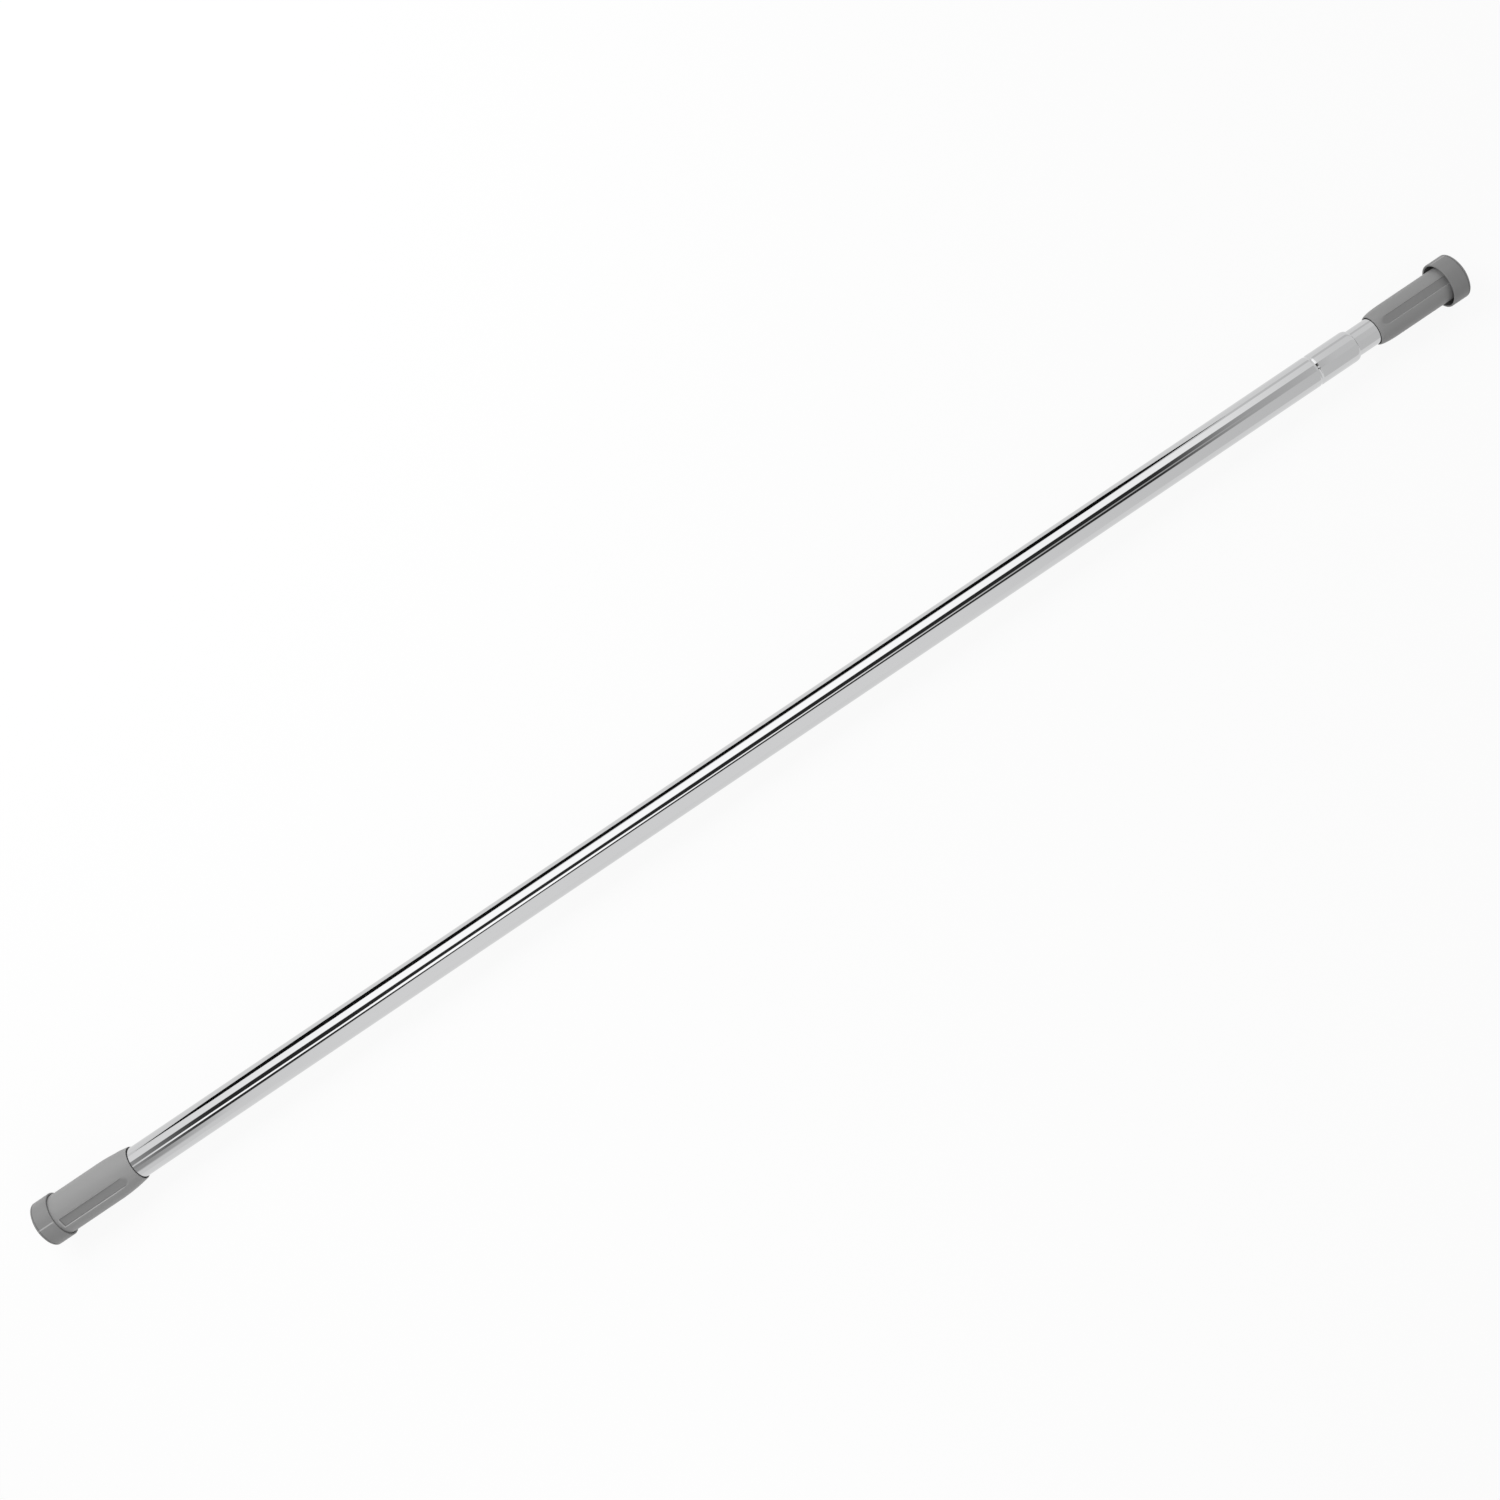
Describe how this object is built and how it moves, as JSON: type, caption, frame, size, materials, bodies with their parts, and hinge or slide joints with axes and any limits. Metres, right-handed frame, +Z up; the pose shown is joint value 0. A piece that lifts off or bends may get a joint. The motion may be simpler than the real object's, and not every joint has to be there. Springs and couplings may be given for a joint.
{
  "type": "pull up bar",
  "caption": "Telescopic chrome doorway pull up bar with grooved twist-grip sleeves that wind cup-shaped feet out against the jambs.",
  "frame": {"origin": "middle of the left foot's rubber face, where it meets the left jamb", "axes": "+X along the bar from the left foot to the right foot, +Z up, bar level"},
  "size_m": [1.6, 0.0456, 0.0456],
  "materials": {
    "chrome_tube": "polished chrome plating",
    "grey_grip": "satin moulded plastic",
    "grey_cup": "satin moulded plastic",
    "dark_rubber": "soft rubber",
    "zinc_steel": "zinc-plated, machined",
    "brass_nut": "machined",
    "white_nylon": "natural nylon",
    "black_nylon": "filled nylon"
  },
  "bodies": {
    "outer_bar": {"outer_tube": "chrome_tube", "mouth_bush": "black_nylon", "left_end_plug": "black_nylon", "left_plug_pins": "zinc_steel", "left_thrust_washer": "zinc_steel", "left_snap_ring": "zinc_steel"},
    "left_grip": {"left_grip_sleeve": "grey_grip", "left_grip_nut": "brass_nut"},
    "left_foot": {"left_foot_cup": "grey_cup", "left_foot_pad": "dark_rubber", "left_foot_spindle": "zinc_steel", "left_foot_screw": "zinc_steel"},
    "lock_carrier": {"lock_collet": "white_nylon", "collet_o_ring": "dark_rubber"},
    "lock_wedge": {"lock_cone": "black_nylon", "lock_cone_nut": "zinc_steel"},
    "inner_bar": {"inner_tube": "chrome_tube", "lock_plug": "zinc_steel", "lock_stud": "zinc_steel", "lock_cross_pin": "zinc_steel", "stud_stop_nut": "zinc_steel", "right_end_plug": "black_nylon", "right_plug_pins": "zinc_steel", "right_thrust_washer": "zinc_steel", "right_snap_ring": "zinc_steel"},
    "right_grip": {"right_grip_sleeve": "grey_grip", "right_grip_nut": "brass_nut"},
    "right_foot": {"right_foot_cup": "grey_cup", "right_foot_pad": "dark_rubber", "right_foot_spindle": "zinc_steel", "right_foot_screw": "zinc_steel"}
  },
  "joints": [
    {"name": "left_grip_twist", "type": "hinge", "parent": "outer_bar", "child": "left_grip", "pos_m": [0.06, 0, 0], "axis": [1, 0, 0], "range_deg": [0, 2160]},
    {"name": "left_foot_travel", "type": "slide", "parent": "outer_bar", "child": "left_foot", "axis": [-1, 0, 0], "range_m": [0, 0.01051]},
    {"name": "tube_extension", "type": "slide", "parent": "outer_bar", "child": "lock_carrier", "axis": [1, 0, 0], "range_m": [-0.02, 0.5]},
    {"name": "lock_twist", "type": "hinge", "parent": "lock_carrier", "child": "inner_bar", "pos_m": [0.62, 0, 0], "axis": [-1, 0, 0], "range_deg": [0, 540]},
    {"name": "wedge_draw", "type": "slide", "parent": "lock_carrier", "child": "lock_wedge", "axis": [1, 0, 0], "range_m": [0, 0.00188]},
    {"name": "right_grip_twist", "type": "hinge", "parent": "inner_bar", "child": "right_grip", "pos_m": [1.54, 0, 0], "axis": [-1, 0, 0], "range_deg": [0, 2160]},
    {"name": "right_foot_travel", "type": "slide", "parent": "inner_bar", "child": "right_foot", "axis": [1, 0, 0], "range_m": [0, 0.01051]}
  ],
  "couplings": [
    {"joint": "left_foot_travel", "follows": "left_grip_twist", "m_per_rad": 0.00027852},
    {"joint": "right_foot_travel", "follows": "right_grip_twist", "m_per_rad": 0.00027852},
    {"joint": "wedge_draw", "follows": "lock_twist", "m_per_rad": 0.00019894}
  ]
}
